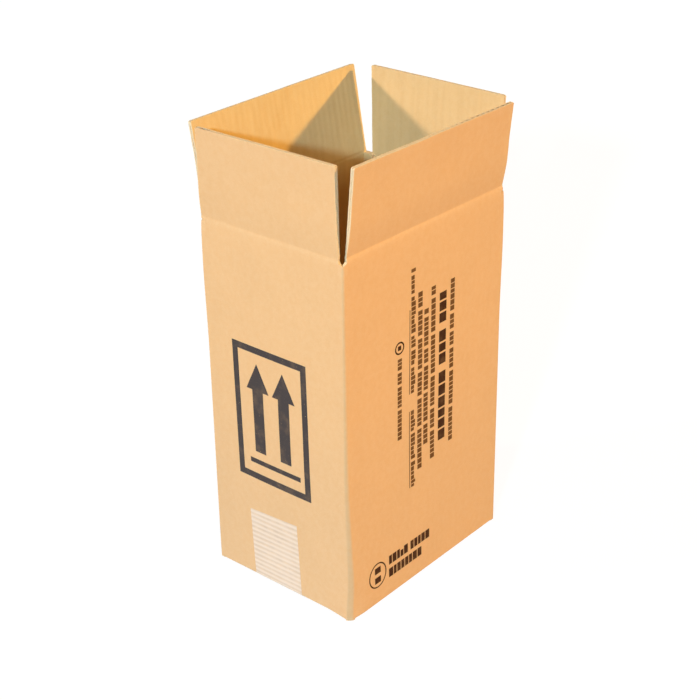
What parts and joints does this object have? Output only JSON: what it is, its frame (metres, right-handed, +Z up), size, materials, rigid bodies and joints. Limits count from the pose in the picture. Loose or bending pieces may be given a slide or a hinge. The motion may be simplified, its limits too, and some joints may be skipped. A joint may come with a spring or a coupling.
{
  "type": "jerrican shipping box",
  "caption": "Tall corrugated shipping box for one small jerrican, with hinged top flaps and a taped bottom.",
  "frame": {"origin": "centre of the bounding box at its base, on the floor under the middle of the box", "axes": "+Z up, the narrow front wall faces -Y and the wide right wall faces +X"},
  "size_m": [0.158, 0.1976, 0.374],
  "materials": {
    "board": "matte kraft liner",
    "tape": "satin ribbed film"
  },
  "bodies": {
    "box": {"box_body": "board", "bottom_tape": "tape"},
    "front_flap": {"front_flap": "board"},
    "back_flap": {"back_flap": "board"},
    "left_flap": {"left_flap": "board"},
    "right_flap": {"right_flap": "board"}
  },
  "joints": [
    {"name": "front_flap_crease", "type": "hinge", "parent": "box", "child": "front_flap", "pos_m": [0, -0.0945, 0.3018], "axis": [1, 0, 0], "range_deg": [-93, 152]},
    {"name": "back_flap_crease", "type": "hinge", "parent": "box", "child": "back_flap", "pos_m": [0, 0.0945, 0.3018], "axis": [-1, 0, 0], "range_deg": [-93, 152]},
    {"name": "left_flap_crease", "type": "hinge", "parent": "box", "child": "left_flap", "pos_m": [-0.0695, 0, 0.305], "axis": [0, -1, 0], "range_deg": [-97.5, 147.5]},
    {"name": "right_flap_crease", "type": "hinge", "parent": "box", "child": "right_flap", "pos_m": [0.0695, 0, 0.305], "axis": [0, 1, 0], "range_deg": [-97.5, 147.5]}
  ]
}
